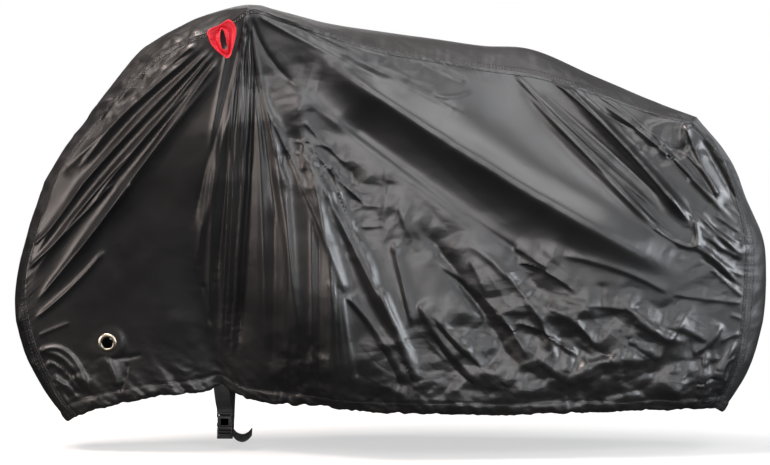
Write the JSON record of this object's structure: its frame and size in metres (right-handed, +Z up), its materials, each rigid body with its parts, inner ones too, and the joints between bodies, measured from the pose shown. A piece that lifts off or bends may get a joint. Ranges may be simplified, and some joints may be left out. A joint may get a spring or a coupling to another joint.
{
  "type": "bicycle cover",
  "caption": "Fitted black nylon cover shaped by the bicycle under it, with gathered hem, lock eyelets, red hanging loop and a buckled strap.",
  "frame": {"origin": "on the underside of the middle line of the strips where they meet, over the middle of the handlebar that carries them", "axes": "+X towards the rear of the bicycle, -Y the near side with the red loop, +Z up"},
  "size_m": [1.8458, 0.5557, 1.0702],
  "materials": {
    "nylon": "black coated nylon, semi-gloss",
    "eyelet_metal": "plated brass, polished",
    "red_webbing": "woven red webbing",
    "black_webbing": "woven black webbing",
    "buckle_plastic": "moulded black plastic"
  },
  "bodies": {
    "root": {"near_panel": "nylon", "far_panel": "nylon", "front_strip": "nylon", "top_strip": "nylon", "near_eyelet": "eyelet_metal", "far_eyelet": "eyelet_metal", "hanging_loop": "red_webbing", "strap_near": "black_webbing", "strap_far": "black_webbing", "strap_tail": "black_webbing", "buckle_socket": "buckle_plastic", "buckle_plug": "buckle_plastic"}
  },
  "joints": []
}
